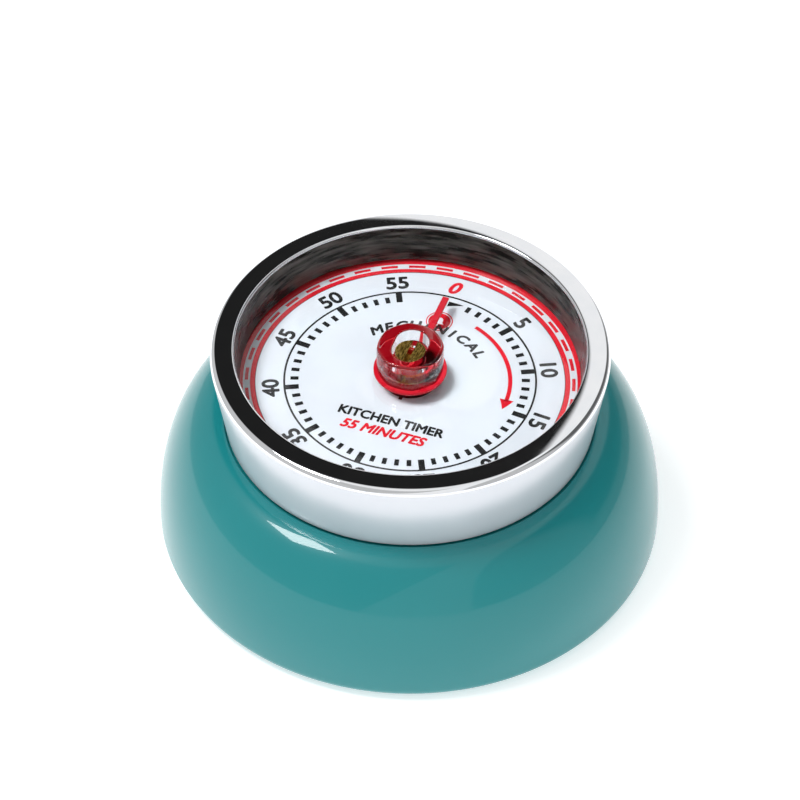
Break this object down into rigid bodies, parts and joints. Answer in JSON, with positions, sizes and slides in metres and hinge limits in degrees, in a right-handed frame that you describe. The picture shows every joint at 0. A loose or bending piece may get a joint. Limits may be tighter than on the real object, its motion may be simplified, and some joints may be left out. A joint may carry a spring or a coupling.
{
  "type": "kitchen timer",
  "caption": "Round clockwork kitchen timer with a domed enamelled case, flared chrome bezel, printed dial, clear winding knob and a magnet in its back.",
  "frame": {"origin": "middle of the magnet's face, on the plane that the timer lies on", "axes": "+Z out of the dial, +Y towards the dial's zero mark, +X towards the quarter-turn mark on the right"},
  "size_m": [0.07, 0.07, 0.0326],
  "materials": {
    "teal_enamel": "gloss",
    "polished_chrome": "polished",
    "raw_steel": "brushed",
    "clear_lens": "polished",
    "clear_acrylic": "polished",
    "white_dial_lacquer": "satin",
    "red_lacquer": "gloss",
    "black_abs": "moulded",
    "ferrite": "ground",
    "zinc_plated_steel": "zinc plated",
    "plate_steel": "rolled",
    "bell_steel": "spun",
    "brass": "turned",
    "movement_steel": "turned",
    "spring_steel": "tempered"
  },
  "bodies": {
    "case": {"housing": "teal_enamel", "bezel": "polished_chrome", "retaining_ring": "raw_steel", "lens": "clear_lens", "lens_spacer": "raw_steel", "dial": "white_dial_lacquer", "back_cover": "black_abs", "cover_screws": "zinc_plated_steel", "magnet": "ferrite", "magnet_keeper": "zinc_plated_steel", "magnet_rivet": "zinc_plated_steel", "front_plate": "plate_steel", "back_plate": "plate_steel", "pillars": "zinc_plated_steel", "pillar_screws": "zinc_plated_steel", "movement_screws": "zinc_plated_steel", "front_bush": "brass", "bell_post": "brass", "bell": "bell_steel", "bell_screw": "zinc_plated_steel", "spring_post": "zinc_plated_steel", "mainspring": "spring_steel", "hammer_spring": "spring_steel"},
    "knob_set": {"winding_arbor": "brass", "ratchet_wheel": "movement_steel", "release_cam": "movement_steel", "great_wheel_clip": "movement_steel", "pointer": "red_lacquer", "knob": "clear_acrylic"},
    "great_wheel_set": {"great_wheel": "brass", "click_pin": "movement_steel", "click_spring": "spring_steel"},
    "click_set": {"click": "movement_steel"},
    "second_wheel_set": {"second_pinion": "movement_steel", "second_wheel": "brass"},
    "third_wheel_set": {"third_pinion": "movement_steel", "third_wheel": "brass"},
    "fourth_wheel_set": {"fourth_pinion": "movement_steel", "fourth_wheel": "brass"},
    "escape_wheel_set": {"escape_pinion": "movement_steel", "escape_wheel": "brass"},
    "strike_wheel_set": {"strike_pinion": "movement_steel", "strike_wheel": "movement_steel"},
    "pallet_set": {"pallet_arbor": "movement_steel", "pallet_lever": "movement_steel", "balance_bar": "brass"},
    "hammer_set": {"hammer_arbor": "movement_steel", "hammer_lever": "movement_steel", "hammer_head": "brass"}
  },
  "joints": [
    {"name": "knob_turn", "type": "hinge", "parent": "case", "child": "knob_set", "pos_m": [0, 0, 0.0284], "axis": [0, 0, -1], "range_deg": [0, 335], "deforming": ["mainspring"]},
    {"name": "escape_spin", "type": "hinge", "parent": "case", "child": "escape_wheel_set", "pos_m": [0.00654, 0.01351, 0.0196], "axis": [0, 0, 1], "continuous": true},
    {"name": "fourth_spin", "type": "hinge", "parent": "case", "child": "fourth_wheel_set", "pos_m": [0.00062, 0.01521, 0.0196], "axis": [0, 0, 1], "continuous": true},
    {"name": "third_spin", "type": "hinge", "parent": "case", "child": "third_wheel_set", "pos_m": [-0.00591, 0.0127, 0.0196], "axis": [0, 0, 1], "continuous": true},
    {"name": "second_spin", "type": "hinge", "parent": "case", "child": "second_wheel_set", "pos_m": [-0.01091, 0.0063, 0.0196], "axis": [0, 0, 1], "continuous": true},
    {"name": "great_spin", "type": "hinge", "parent": "case", "child": "great_wheel_set", "pos_m": [0, 0, 0.0185], "axis": [0, 0, 1], "continuous": true},
    {"name": "strike_spin", "type": "hinge", "parent": "case", "child": "strike_wheel_set", "pos_m": [0.0063, -0.01091, 0.0196], "axis": [0, 0, 1], "continuous": true},
    {"name": "click_lift", "type": "hinge", "parent": "great_wheel_set", "child": "click_set", "pos_m": [0, -0.0076, 0.0194], "axis": [0, 0, 1], "range_deg": [0, 12], "stiffness_Nm_per_rad": 0.0001, "deforming": ["click_spring"]},
    {"name": "pallet_rock", "type": "hinge", "parent": "case", "child": "pallet_set", "pos_m": [0.01096, 0.01024, 0.0196], "axis": [0, 0, 1], "range_deg": [-8, 8]},
    {"name": "hammer_swing", "type": "hinge", "parent": "case", "child": "hammer_set", "pos_m": [0.01586, -0.0074, 0.0196], "axis": [0, 0, -1], "range_deg": [0, 5.5], "stiffness_Nm_per_rad": 0.0005, "deforming": ["hammer_spring"]}
  ],
  "couplings": [
    {"joint": "fourth_spin", "follows": "escape_spin", "ratio": -0.16667},
    {"joint": "third_spin", "follows": "escape_spin", "ratio": 0.027778},
    {"joint": "second_spin", "follows": "escape_spin", "ratio": -0.0044444},
    {"joint": "great_spin", "follows": "escape_spin", "ratio": 0.00074074},
    {"joint": "strike_spin", "follows": "escape_spin", "ratio": -0.0044444}
  ]
}
